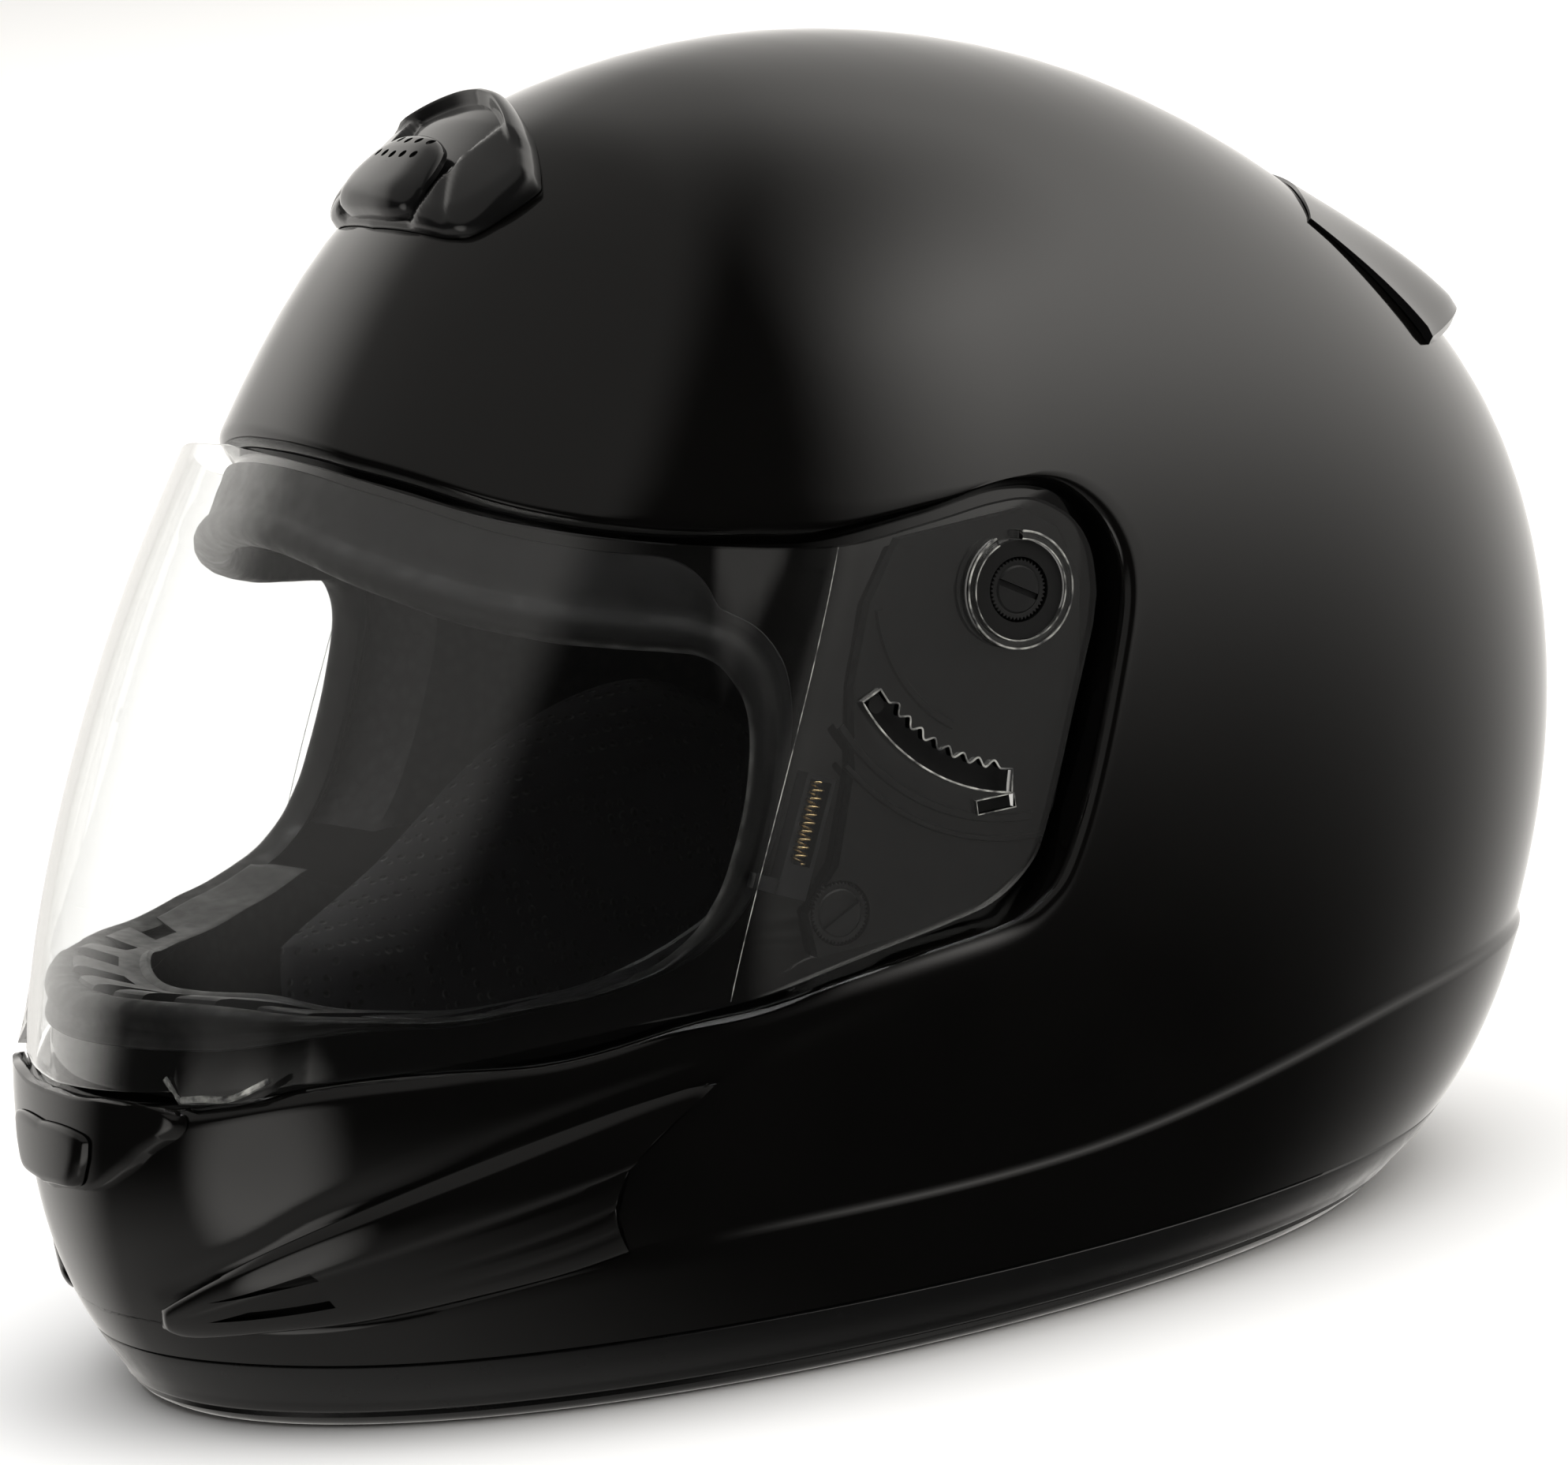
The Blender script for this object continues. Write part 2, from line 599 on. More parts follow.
def impact_liner():
    r = part_of_rays(-16, 16)
    edge, recess, band = r["edge"], r["recess"], r["band"]
    deep, cap = RECESS + WALL + CLEAR, POCKET_X - WALL - CLEAR
    rim = toward(edge, recess, 1)
    near, far = (toward(recess, band, mm) for mm in (9, 15))
    spread = [mix(recess, band, f) for f in np.linspace(FIRST_INSIDE, 1, 26)]
    outer = [in_recess(p, -deep, cap) for p in (rim, recess, near)]
    outer += [on_shell(p, -WALL - CLEAR) for p in (far, *spread)]
    inner = [on_shell(rim, -LINER_DEPTH + 3), on_shell(toward(rim, recess, 4), -LINER_DEPTH + 1)]
    inner += [on_shell(p, -LINER_DEPTH) for p in (recess, near, far, *spread)]
    liner = solid("foam_liner", np.stack(outer, 1), np.stack(inner, 1), sharp=40)
    dress(liner, black_foam, "impact_liner")


def chin_liner():
    r = part_of_rays(17.5, 24.5)
    edge, recess, band, u = (r[k] for k in ("edge", "recess", "band", "u"))
    deep = RECESS + WALL + CLEAR
    sole = spot(u, 19.0)
    top, under = toward(edge, recess, 3), toward(recess, band, 6)
    lower = [mix(recess, band, f) for f in (0.4, 0.6, 0.8)]
    outer = [on_shell(top, -deep), on_shell(under, -deep)] + [on_shell(p, -WALL - 3) for p in (*lower, sole)]
    thick = ((top, 8), (toward(edge, recess, 5), 10), (under, 12), *((p, 14) for p in lower), (sole, 12))
    inner = [on_shell(p, -deep - mm) for p, mm in thick]
    liner = solid("foam_chin_bar", np.stack(outer, 1), np.stack(inner, 1), sharp=40)
    dress(liner, black_foam, "chin_liner")


impact_liner()
chin_liner()

# ---- Crown pad, cheek pads and neck roll ---------------------------------------------
# Soft foam in a sewn cover of black perforated mesh knit. The crown pad is quilted into
# strips, each cheek pad snaps to the foam liner, and the neck roll closes the opening.
CROWN_PAD = 7


def lining():
    """Mesh knit with a round hole every 3 mm, and a soft sheen."""
    material, tree, shader = finish_of("black mesh knit", (0.010, 0.010, 0.012), 0.92)
    cloth = span(tree, cells(tree, 3, randomness=0.12), 0, 1, 0.16, 0.34)
    tint(tree, cloth, (0.001, 0.001, 0.001), (0.016, 0.016, 0.019), shader)
    relief(tree, shader, cloth, 0.5, 0.9)
    shader.inputs["Sheen Weight"].default_value = 0.25
    shader.inputs["Sheen Roughness"].default_value = 0.5
    return material


mesh_knit = lining()


def padded_piece(item, node):
    dress(item, mesh_knit, node)


def crown_pad():
    r = part_of_rays(-12, 12)
    recess, band = r["recess"], r["band"]
    first, last = FIRST_INSIDE, 0.9
    back = -LINER_DEPTH - 1.2
    seams = []
    for a, at_crown in ((30, 9), (75, 22.5), (120, 162), (160, 174)):
        seams.append(spline([spot(a, 150), spot(a * 0.8, 200), spot(at_crown, 236)], np.linspace(0, 2, 16)))
    outer, inner = [], []
    for f in np.linspace(first, last, 60):
        p = mix(recess, band, f)
        folded = np.stack([np.abs(p[..., 0]), p[..., 1]], -1)
        gap = np.min([distance_to(folded, seam)[0] for seam in seams], axis=0)
        rim = ease((f - first) / 0.06) * ease((last - f) / 0.06)
        plump = (0.35 + 0.65 * (1 - np.exp(-(gap / 7) ** 2))) * (0.3 + 0.7 * rim)
        outer.append(on_shell(p, back))
        inner.append(on_shell(p, back - CROWN_PAD * plump))
    pad = solid("crown_lining", np.stack(outer, 1), np.stack(inner, 1), sharp=60)
    padded_piece(pad, "crown_pad")


CHEEK_LOW = [(44, 7), (57, 7), (71, 7), (85, 7), (98, 9)]
CHEEK_TOP = [(44, 76), (58, 86), (72, 106), (86, 112), (98, 98)]
PAD_BACK = [(7, 21), (24, 25), (38, 39), (60, 39), (112, 37)]
CHEEK_PAD, CHEEK_RIM = 22, 3   # thickness in the middle and at the sewn edge


def inset(p, depth):
    q, n = bare(p), normal(p)
    level = n[..., :2] / np.linalg.norm(n[..., :2], axis=-1, keepdims=True)
    q[..., :2] -= depth[..., None] * level
    return q


def cheek_pad(side, word):
    across, up = np.meshgrid(np.linspace(0, 1, 36), np.linspace(0, 1, 40), indexing="ij")
    t = across * (len(CHEEK_LOW) - 1)
    low, top = spline(CHEEK_LOW, t), spline(CHEEK_TOP, t)
    c = mix(low, top, up[..., None])
    p, back = spot(c[..., 0], c[..., 1]), along(PAD_BACK, c[..., 1])
    edge = np.minimum(np.minimum(across, 1 - across) * 2.2, np.minimum(up, 1 - up) * 1.9)
    plump = np.sqrt(1 - (1 - np.clip(edge / 0.42, 0, 1)) ** 2)
    channel = np.exp(-((up - 0.36 - 0.1 * across) / 0.022) ** 2) * ease(edge / 0.15)
    thick = CHEEK_RIM + (CHEEK_PAD - CHEEK_RIM) * (0.55 + 0.45 * plump) * plump - 2.2 * channel
    outer, inner = inset(p, back), inset(p, back + thick)
    for grid in (outer, inner):
        grid[..., 0] *= side
    padded_piece(solid("cheek_lining_" + word, outer, inner, sharp=60), "cheek_pad_" + word)


def tube(name, rings, body="helmet", sharp=50, closed=False):
    """A tube through rings of points, closed into a loop or with flat ends."""
    n, m = len(rings), len(rings[0])
    faces = [(i * m + j, i * m + (j + 1) % m, (i + 1) % n * m + (j + 1) % m, (i + 1) % n * m + j)
             for i in range(n if closed else n - 1) for j in range(m)]
    if not closed:
        faces += [list(range(m)), [(n - 1) * m + j for j in reversed(range(m))]]
    return piece(name, np.array(rings).reshape(-1, 3) * MM, faces, sharp, body)


def neck_roll():
    around = np.radians(np.arange(0, 360, 15))
    rings = []
    for u in np.arange(110, 250.1, 2):
        ends = math.sqrt(max(0.04, 1 - (abs(u - 180) / 70.5) ** 16))
        gather = 1 + 0.02 * math.sin(u * 1.9) + 0.015 * math.sin(u * 3.7)
        z = 19.4 + 9.2 * np.sin(around) * ends * gather
        depth = 17.6 + 8.4 * np.cos(around) * ends * gather
        turn = u if u <= 180 else u - 360
        rings.append(on_shell(spot(turn, z), -depth))
    padded_piece(tube("neck_lining", rings), "neck_roll")


crown_pad()
for side, word in SIDES:
    cheek_pad(side, word)
neck_roll()

# ---- Eyeport seal --------------------------------------------------------------------
# An extruded black rubber strip, pushed over the cut edge of the eyeport and glued. A
# round bead meets the visor, and along the brow a broad flap lies on the recess's floor.


def rubber(name, colour, roughness):
    material, tree, shader = finish_of(name, colour, roughness)
    vary_roughness(tree, shader, 4, roughness * 0.8, roughness * 1.3)
    tint(tree, span(tree, noise(tree, 18, 3), 0, 1), colour, tuple(1.8 * c for c in colour), shader)
    shader.inputs["Specular IOR Level"].default_value = 0.3
    relief(tree, shader, noise(tree, 0.35, 2), 0.02, 0.4)
    return material


seal_rubber = rubber("black seal rubber", (0.006, 0.006, 0.006), 0.5)


def eyeport_seal():
    edge, recess = rays["edge"], rays["recess"]
    k = np.arange(len(edge))
    half = len(edge) / 2
    station = np.where(k > half, len(edge) - k, k) / RAYS_PER_STATION
    room = np.linalg.norm(recess - edge, axis=-1) * DISC_MM
    flap = mix(2.0, 0.80 * room, ease((6.6 - station) / 1.6))

    def at(s, off):
        q = on_shell(toward(edge, recess, s), -RECESS + off)
        q[..., 0] = np.clip(q[..., 0], -POCKET_X - 1.5, POCKET_X + 1.5)
        return q

    bead = [(-4.6, -6.6), (-5.4, -5.6), (-5.8, -4), (-5.9, -1.5), (-5.6, 0.3), (-5, 1.4), (-4, 2.1),
            (-3, 2.2), (-2, 1.8), (-1.2, 1.1), (-0.6, 0.9)]
    leaf = [(0.2, 1.05), (0.45, 1.3), (0.7, 1.25), (0.88, 1.5), (0.96, 1.4), (1, 0.7), (1, 0.06)]
    outer = [at(s, off) for s, off in bead] + [at(flap * f, off) for f, off in leaf]
    inner = [at(-3, -6.5), at(-0.7, -5), at(-0.7, -0.5), at(flap * 0.99, 0.05)]
    seal = solid("eyeport_seal", np.stack(outer, 1), np.stack(inner, 1), closed=True, sharp=50)
    dress(seal, seal_rubber, "eyeport_gasket")


eyeport_seal()

# ---- Chin bar shelf ------------------------------------------------------------------
# A satin black nylon moulding on top of the chin bar. Its slanted slots send the air of
# the chin vent up the inside of the visor, and a thin lip runs along its inner edge.


def satin(name, colour=(0.009, 0.009, 0.010), roughness=0.38, grain_mm=0.5):
    material, tree, shader = finish_of(name, colour, roughness)
    vary_roughness(tree, shader, 3, roughness * 0.85, roughness * 1.2)
    tint(tree, span(tree, noise(tree, 22, 3), 0, 1), colour, tuple(1.6 * c for c in colour), shader)
    shader.inputs["Specular IOR Level"].default_value = 0.3
    relief(tree, shader, noise(tree, grain_mm, 2), 0.03, 0.5)
    return material


satin_black = satin("satin black nylon")


def cut(item, cutters):
    """Cuts the cutters out of a piece and removes them."""
    for cutter in cutters:
        hole = item.modifiers.new("hole", "BOOLEAN")
        hole.operation = "DIFFERENCE"
        hole.solver = "EXACT"
        hole.object = cutter
    bpy.context.view_layer.update()
    graph = bpy.context.evaluated_depsgraph_get()
    mesh = bpy.data.meshes.new_from_object(item.evaluated_get(graph))
    item.modifiers.clear()
    item.data = mesh
    for cutter in cutters:
        bpy.data.objects.remove(cutter)


def prism(low_ring, high_ring):
    """A cutter between two outlines with the same number of corners."""
    n = len(low_ring)
    faces = [tuple(range(n)), tuple(range(2 * n - 1, n - 1, -1))]
    faces += [(k, (k + 1) % n, n + (k + 1) % n, n + k) for k in range(n)]
    return unposed("cutter", [*low_ring, *high_ring], faces)


def extruded(x0, x1, outline):
    """A cutter along X from an outline of (y, z) in millimetres."""
    return prism(*([(x * MM, y * MM, z * MM) for y, z in outline] for x in (x0, x1)))


SHELF_SLOTS = np.arange(-39, 42, 10)   # angles of the slots from straight ahead


def chin_shelf():
    r = part_of_rays(17, 25, 1)
    edge, recess = r["edge"], r["recess"]

    def at(s, depth):
        return on_shell(toward(edge, recess, s), -RECESS - depth)

    under = [at(-4.2, 8), at(-4.3, 12), at(-4.5, 16), at(-4.7, 19)]
    top = [at(-5.6, 2.6), at(-6.6, 2.8), at(-7, 3.4)]
    top += [at(-7.1 - 0.05 * d, d) for d in (5, 7, 9, 11, 13, 15, 16.5)]
    top += [at(-8.5, 17), at(-8.9, 17.8), at(-8.6, 18.7), at(-7.5, 19)]
    shelf = solid("chin_shelf", np.stack(under, 1), np.stack(top, 1), sharp=30)
    cutters = []
    for u in SHELF_SLOTS:
        foot = [on_shell(spot(u + turn, 88), -RECESS - d) * MM
                for turn, d in ((-2.6, 2), (2.2, 2), (6.7, 13.5), (1.9, 13.5))]
        cutters.append(prism(*([(x, y, z * MM) for x, y, _ in foot] for z in (80, 99))))
    cut(shelf, cutters)
    dress(shelf, satin_black, "chin_top_trim")


chin_shelf()

# ---- Base plates, screws, inserts, levers and springs --------------------------------
# On each side a black nylon plate carries the visor. A slotted nylon screw with a knurled
# head goes through it into a brass insert, and a brass spring holds up the release lever.
PIVOT = (3, 151)         # y and z of the visor's axis
LOWER_SCREW = (-43, 94.7)
PLATE_X = POCKET_X + 0.2
HEAD_R = 6.3
SCREW_TEETH = 44
LEVER_TOP = (-42.5, 123)
LEVER_DIR = (-0.41, -0.91)


def give(node, material):
    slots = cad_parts[node].data.materials
    slots.clear()
    slots.append(material)


def metal(name, colour, roughness):
    material, tree, shader = finish_of(name, colour, roughness)
    shader.inputs["Metallic"].default_value = 1
    streaks = span(tree, noise(tree, 1.2, 5, (1, 1, 0.15)), roughness * 0.7, roughness * 1.5)
    tree.links.new(streaks, shader.inputs["Roughness"])
    tint(tree, span(tree, noise(tree, 6, 4), 0, 1), tuple(0.7 * c for c in colour), colour, shader)
    relief(tree, shader, noise(tree, 0.4, 3, (1, 1, 0.2)), 0.01, 0.4)
    return material


steel = metal("zinc plated steel", (0.62, 0.62, 0.64), 0.28)
brass = metal("brass", (0.78, 0.58, 0.30), 0.25)
plate_nylon = satin("plate nylon", (0.0035, 0.0035, 0.0035), 0.5, 0.8)
screw_nylon = satin("screw nylon", (0.007, 0.007, 0.007), 0.42, 0.4)
for _, word in SIDES:
    give("base_plate_" + word, plate_nylon)
    give("release_lever_" + word, satin_black)
give("insert_nuts", brass)
give("pad_snaps", satin_black)


def screw(name, x, thick, at, turn, side):
    """A knurled head and its shank, turned about X, with a slot across the head at angle turn."""
    knurl = 0.22
    profile = [(0, thick), (HEAD_R * 0.70, thick), (HEAD_R * 0.76, thick - 0.35), (HEAD_R * 0.8, thick - 0.3),
               (HEAD_R - 0.3, thick - 0.3), (HEAD_R, thick - 0.6), (HEAD_R, 0.3), (HEAD_R - 0.3, 0),
               (2.5, 0), (2.5, -9)]
    rings = []
    for radius, high in profile:
        ring = []
        for k in range(SCREW_TEETH * 4):
            angle = 2 * math.pi * k / (SCREW_TEETH * 4)
            tooth = knurl * (1 if k % 4 in (0, 1) else -1) - knurl if radius > HEAD_R - 0.5 else 0
            r = max(radius + tooth, 0.01)
            ring.append((side * (x + high), at[0] + r * math.cos(angle), at[1] + r * math.sin(angle)))
        rings.append(ring)
    item = tube(name, rings, sharp=28)
    c, s = math.cos(math.radians(turn)), math.sin(math.radians(turn))
    slot = [(at[0] + run * c - over * s, at[1] + run * s + over * c)
            for run, over in ((-4.7, -0.6), (4.7, -0.6), (4.7, 0.6), (-4.7, 0.6))]
    cut(item, [extruded(side * (x + thick - 1), side * (x + thick + 1), slot)])
    dress(item, screw_nylon)
    return item


for side, word in SIDES:
    pivot_screw = screw("pivot_screw_" + word, 114.65, 2.2, PIVOT, -30, side)
    screw("lower_screw_" + word, PLATE_X + 1.25, 1.8, LOWER_SCREW, 25, side)
    if word == "left":
        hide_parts("base_plate_screws")


def lever_spring(side, word):
    """A brass coil spring below its lever, which squashes when the lever is pushed down."""
    wire, coil, turns, length = 0.26, 1.42, 10, 16.4
    steps, sides = 24, 8
    down = Vector((0, *LEVER_DIR)).normalized()
    start = Vector((side * 111.2, *LEVER_TOP)) + down * (18.7 - length)
    out = Vector((1, 0, 0))
    across = down.cross(out)
    rings = []
    for k in range(turns * steps + 1):
        a = 2 * math.pi * k / steps
        radial = out * math.cos(a) + across * math.sin(a)
        centre = start + down * (length * k / (turns * steps)) + radial * coil
        angles = [2 * math.pi * j / sides for j in range(sides)]
        rings.append([tuple(centre + (radial * math.cos(b) + down * math.sin(b)) * wire) for b in angles])
    spring = tube("coil_spring_" + word, rings)
    dress(spring, brass, "lever_spring_" + word)
    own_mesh(spring)


def around_pivot(r, degrees):
    a = math.radians(degrees)
    return PIVOT[0] + r * math.cos(a), PIVOT[1] + r * math.sin(a)


def plate_ridges(side, word):
    """Raised arcs on the plate that guide the visor's ear."""
    faces, points = [], []
    foot, top, steps = 2.9, 3.7, 48
    for radius, wide, start, end in ((29.5, 0.9, 178, 236), (45.5, 0.9, 206, 268), (49.5, 0.7, 214, 270)):
        base = len(points)
        ridge = ((radius - wide, foot), (radius - wide + 0.3, top),
                 (radius + wide - 0.3, top), (radius + wide, foot))
        for k in range(steps + 1):
            for r, high in ridge:
                points.append((side * (PLATE_X + high), *around_pivot(r, mix(start, end, k / steps))))
        for k in range(steps):
            for j in range(4):
                a, b = base + 4 * k + j, base + 4 * k + (j + 1) % 4
                faces.append((a, b, b + 4, a + 4))
        faces += [tuple(base + j for j in range(4)), tuple(base + 4 * steps + j for j in reversed(range(4)))]
    ridges = piece("plate_ridges_" + word, np.array(points) * MM, faces)
    dress(ridges, plate_nylon)


for side, word in SIDES:
    lever_spring(side, word)
    plate_ridges(side, word)

# ---- Visor ---------------------------------------------------------------------------
# Clear injection-moulded polycarbonate, 2.2 mm thick with a hard coat and polished edges.
# Each ear has a round hole for the hub, a toothed ratchet slot and a small key slot.
VISOR_TOP = [(0, 189), (12, 187.3), (21, 184), (28, 180.5), (35, 176.5), (42, 173), (50, 169.5),
             (57, 167), (64, 165.8), (72, 167.2), (77, 168.4), (80.5, 168), (83, 165), (84.8, 161),
             (86, 155), (86.5, 147)]
VISOR_LOW = [(0, 71), (12, 72), (21, 73.3), (28, 74), (35, 74.8), (42, 76), (50, 78.2), (57, 80.3), (64, 83),
             (72, 86.5), (77, 88.7), (80.5, 91), (83, 96.5), (84, 104), (85.3, 127), (86.3, 141)]
VISOR_WALL = 2.2
BROW_STAND_OFF = 6
EAR_X = 116.5
EAR_TILT = 0.02
HUB_R = 9.8
RATCHET_R = 37.7
SLOT_W = 4.6
SLOT_FROM, SLOT_TO = 203, 260
DETENT_R = 1.5
KEY_SLOT = [(-12, 108.6), (-3.5, 108.6), (-3.5, 111.4), (-12, 111.4)]
TAB_LIFT = 2.4


def visor_point(u, z, depth):
    p, a = spot(u, z), np.abs(u)
    high, front = ease((z - 75) / 95), 1 - ease((a - 20) / 50)
    stand = -0.5 + (BROW_STAND_OFF + 0.5) * high * front + 2 * high * (1 - front)
    q = on_shell(p, stand - depth)
    e = ease((a - 54) / 12)
    plane = np.sign(u) * (EAR_X - EAR_TILT * (z - 130) - depth)
    q[..., 0] = np.where(e > 0, mix(q[..., 0], plane, e), q[..., 0])
    return q


def ratchet_outline():
    """The slot about the pivot: plain outer edge, and round teeth along its inner one."""
    points = [around_pivot(RATCHET_R + SLOT_W / 2, mix(SLOT_FROM, SLOT_TO, k / 60)) for k in range(61)]
    teeth_from, teeth_to, pitch = SLOT_FROM + 5, SLOT_TO - 4, 6
    for k in range(181):
        d = mix(SLOT_TO, SLOT_FROM, k / 180)
        wave = 0.5 - 0.5 * math.cos(2 * math.pi * (d - teeth_from) / pitch)
        tooth = DETENT_R * wave if teeth_from < d < teeth_to else 0
        points.append(around_pivot(RATCHET_R - SLOT_W / 2 - tooth, d))
    return points


def lift_tab(u):
    """How much of the tab in the visor's lower edge, to lift it by, is there at angle u."""
    return ease((u - 17.5) / 2.2) * ease((29.5 - u) / 3.4)


def clear_visor():
    t = np.linspace(0, len(VISOR_TOP) - 1, 76)
    top, low = spline(VISOR_TOP, t), spline(VISOR_LOW, t)
    tab = lift_tab(low[:, 0])
    low[:, 1] -= 2.6 * tab
    up = np.linspace(0, 1, 34)
    cols = []
    for side in (-1, 1):
        c = mix(low[:, None], top[:, None], up[None, :, None])
        c = c * (side, 1)
        cols.append(c[::-1][:-1] if side < 0 else c)
    c = np.vstack(cols)
    tabs = np.concatenate([tab[::-1][:-1], tab])[:, None] * (1 - up[None]) ** 14
    outer, inner = (visor_point(c[..., 0], c[..., 1], depth) for depth in (0, VISOR_WALL))
    lift = tabs[..., None] * normal(spot(c[..., 0], c[..., 1])) * TAB_LIFT
    visor = solid("clear_visor", outer + lift, inner + lift, sharp=40, body="visor_panel")
    holes = [[around_pivot(HUB_R + 0.05, 360 * k / 96) for k in range(96)], ratchet_outline(), KEY_SLOT]
    cut(visor, [extruded(side * 108, side * 124, hole) for side, _ in SIDES for hole in holes])
    visor.data.set_sharp_from_angle(angle=math.radians(32))
    dress(visor, clear, "visor")


def clear_plastic():
    material, tree, shader = finish_of("clear polycarbonate", (0.985, 0.995, 0.99), 0.015, ior=1.585)
    shader.inputs["Transmission Weight"].default_value = 1
    shader.inputs["Specular IOR Level"].default_value = 0.2
    slant = tree.nodes.new("ShaderNodeLayerWeight")
    slant.inputs["Blend"].default_value = 0.5
    at_rim = span(tree, slant.outputs["Facing"], 0, 1, 0.82, 1)
    tint(tree, at_rim, (0.985, 0.992, 0.988), (0.55, 0.6, 0.57), shader)
    tree.links.new(span(tree, noise(tree, 30, 5), 0.008, 0.02), shader.inputs["Roughness"])
    return material


clear = clear_plastic()
clear_visor()


HUB_ARC = [110 + 330 * k / 96 for k in range(97)]   # the ring's gap faces up and forwards


def hub_ring(side, word):
    """The raised clear ring round the hub's hole, open at its top."""
    foot, shoulder, top = 116.2, 117.5, 117.8
    profile = [(0.1, foot), (0.1, shoulder), (0.4, top), (1.6, top), (1.9, shoulder), (1.9, foot)]
    rings = [[(side * x, *around_pivot(HUB_R + r, a)) for r, x in profile] for a in HUB_ARC]
    dress(tube("hub_ring_" + word, rings, body="visor_panel", sharp=30), clear)


def frosted_plastic():
    material, tree, shader = finish_of("frosted polycarbonate edge", (0.30, 0.31, 0.29), 0.3, ior=1.585)
    patches = span(tree, noise(tree, 2.5, 3), 0, 1, 0.35, 0.65)
    tint(tree, patches, (0.03, 0.03, 0.03), (0.42, 0.42, 0.39), shader)
    relief(tree, shader, noise(tree, 0.5, 2), 0.03, 0.5)
    return material


frosted = frosted_plastic()


def bright_edge(name, points, r, closed=False):
    """A frosted line where a cut or moulded edge of the visor catches the light."""
    path = np.array(points, float)
    n, sides = len(path), 6
    rings = []
    for i in range(n):
        after = (i + 1) % n if closed else min(i + 1, n - 1)
        before = i - 1 if closed else max(i - 1, 0)
        d = Vector(path[after] - path[before]).normalized()
        a = d.cross(Vector((1, 0.02, 0.01))).normalized()
        b = d.cross(a)
        angles = [2 * math.pi * k / sides for k in range(sides)]
        rings.append([tuple(Vector(path[i]) + (a * math.cos(w) + b * math.sin(w)) * r) for w in angles])
    dress(tube(name, rings, "visor_panel", 60, closed), frosted)


def on_ear(side, y, z):
    return side * (EAR_X - EAR_TILT * (z - 130) + 0.05), y, z


for side, word in SIDES:
    hub_ring(side, word)
    bright_edge("ratchet_edge_" + word, [on_ear(side, y, z) for y, z in ratchet_outline()], 0.2, closed=True)
    key = [KEY_SLOT[0], (-7.8, 108.6), *KEY_SLOT[1:3], (-7.8, 111.4), KEY_SLOT[3]]
    bright_edge("key_slot_edge_" + word, [on_ear(side, y, z) for y, z in key], 0.14, closed=True)
    for r, thick, tag in ((HUB_R + 0.25, 0.16, "inner"), (HUB_R + 1.8, 0.22, "outer")):
        arc = [(side * 117.75, *around_pivot(r, a)) for a in HUB_ARC]
        bright_edge("hub_%s_edge_%s" % (tag, word), arc, thick)
    crease = [visor_point(np.array(side * mix(61.0, 63.5, f)), np.array(mix(82.6, 165.4, f)), -0.02)
              for f in np.linspace(0, 1, 30)]
    bright_edge("visor_crease_" + word, crease, 0.1)
TAB_LINE = [(16.6, 75.2), (18.6, 71.6), (21.5, 71.7), (24.5, 71.9), (27.6, 75.2)]
tab_edge = [visor_point(u, z, VISOR_WALL / 2 - TAB_LIFT * lift_tab(u))
            for u, z in spline(TAB_LINE, np.linspace(0, 4, 25))]
bright_edge("lift_tab_edge", tab_edge, 0.75)

# ---- Top vent ------------------------------------------------------------------------
# A black lacquered hood over the intake on the brow of the crown. Behind its slider a
# sunk channel runs back under a rounded hoop; the slider has ten grip dimples.
TOP_VENT = [(0, 230.5), (12, 230), (20, 228.7), (25, 229.5), (31.5, 235), (31.5, 238), (25, 244.5),
            (12, 248.6), (0, 249.5)]
SLIDER_EDGE = [(0, 64.2), (7, 64.0), (12.2, 62.8), (13.6, 59.5), (13, 55), (10.5, 51), (6, 49), (0, 48.5)]
HOOD_TOP, FLOOR_TOP, HOOP_TOP = 5, 2, 7
SLIDER_MIDDLE = 56       # millimetres in front of the crown


def front(t, f):
    """Disc point t mm to the left of the middle plane and f mm in front of the crown."""
    return np.stack([np.asarray(t, float), -np.asarray(f, float)], -1) / DISC_MM


def mirrored_loop(half):
    half = np.asarray(half, float)
    return np.vstack([half, half[1:-1][::-1] * (-1, 1)])


def cover(name, outline, middle, height, base, rings, body="helmet"):
    """A low closed cover on the shell, from the middle out to its outline on the disc map.

    height(q, share) is in millimetres; q is the disc point and share runs from 0 to 1 at the outline.
    """
    n = len(outline)
    shares = np.linspace(0, 1, rings + 1)[1:]
    points = [on_shell(middle, height(middle[None] * DISC_MM, 0)).reshape(1, 3)]
    for share in shares:
        p = mix(middle, outline, share)
        points.append(on_shell(p, height(p * DISC_MM, share)))
    points.append(on_shell(outline, base))
    points.append(on_shell(middle, base)[None])
    points = np.vstack(points)
    faces = [(0, 1 + i, 1 + (i + 1) % n) for i in range(n)]
    for j in range(len(shares)):
        a, b = 1 + j * n, 1 + (j + 1) * n
        faces += [(a + i, b + i, b + (i + 1) % n, a + (i + 1) % n) for i in range(n)]
    last = 1 + len(shares) * n
    faces += [(len(points) - 1, last + (i + 1) % n, last + i) for i in range(n)]
    return piece(name, points * MM, faces, 40, body)


def rounded(share, start):
    """A rounded shoulder: 1 inside start, falling to 0 at share 1."""
    return np.sqrt(np.clip(1 - np.clip((share - start) / (1 - start), 0, 1) ** 2, 0, 1))


def half_outline(points, steps):
    """Smooth half outline on the disc map through points of angle and height."""
    return spline(spot(*np.array(points, float).T), np.linspace(0, len(points) - 1, steps))


